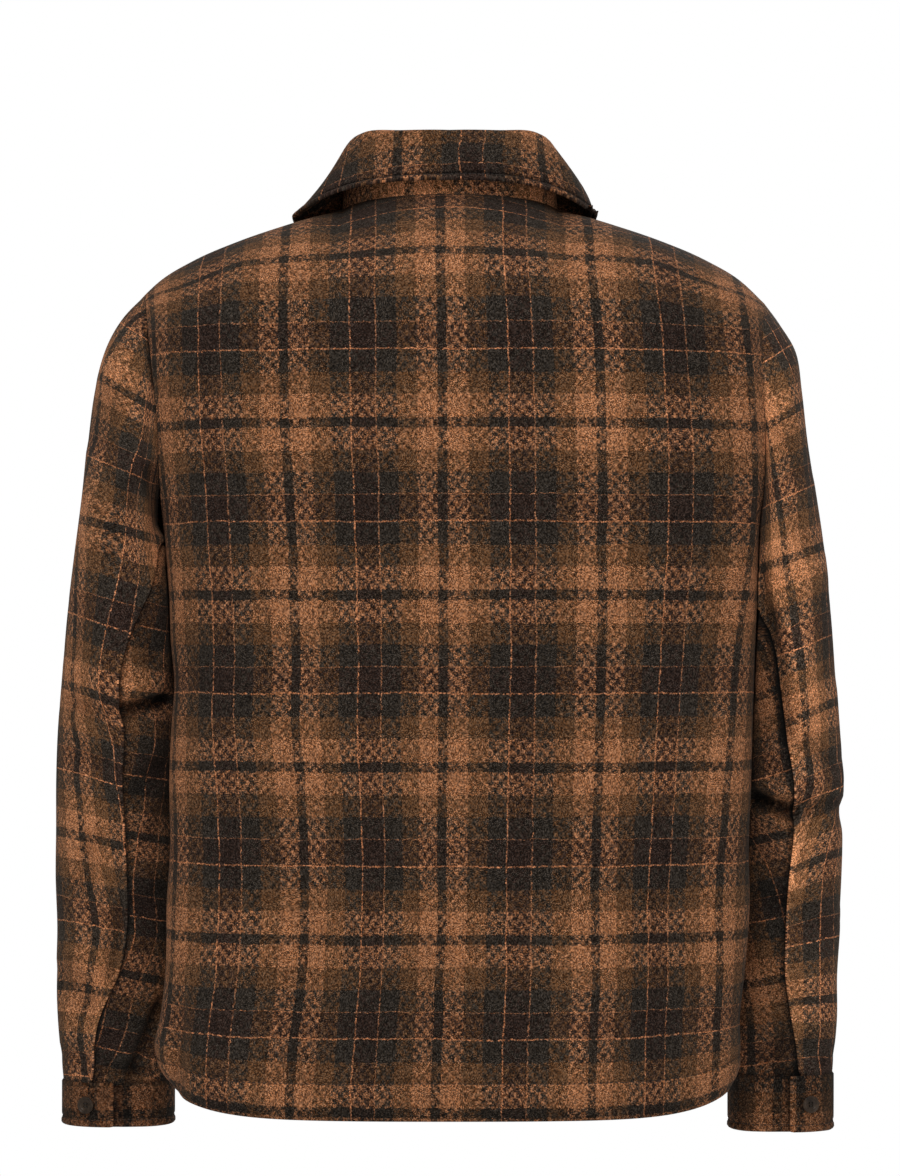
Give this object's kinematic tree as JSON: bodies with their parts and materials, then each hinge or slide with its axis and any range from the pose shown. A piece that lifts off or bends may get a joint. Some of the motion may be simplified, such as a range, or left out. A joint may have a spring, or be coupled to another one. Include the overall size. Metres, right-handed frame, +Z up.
{
  "type": "shacket",
  "caption": "Boxy checked wool shacket in its worn, hollow form, with turned-down collar, drop shoulders, long buttoned cuffs and a straight hem.",
  "frame": {"origin": "in the middle of the neck opening, level with the shoulder seams at the neck, where the wearer's shoulders hold the garment up", "axes": "+Z up, -Y towards the buttoned front, +Y towards the back, +X towards the wearer's left"},
  "size_m": [0.6411, 0.28, 0.8054],
  "materials": {
    "cloth": "brushed wool-blend twill woven in a tan, brown, dark green and dark red check, soft nap, no gloss",
    "button": "dark brown horn-coloured resin with a raised rim, half matt"
  },
  "bodies": {
    "root": {"back": "cloth", "front_left": "cloth", "front_right": "cloth", "sleeve_top_left": "cloth", "sleeve_top_right": "cloth", "sleeve_under_left": "cloth", "sleeve_under_right": "cloth", "cuff_left": "cloth", "cuff_right": "cloth", "collar_stand": "cloth", "collar_fall": "cloth", "button_1": "button", "button_2": "button", "button_3": "button", "button_4": "button", "button_5": "button", "button_6": "button", "cuff_button_left": "button", "cuff_button_right": "button"}
  },
  "joints": []
}
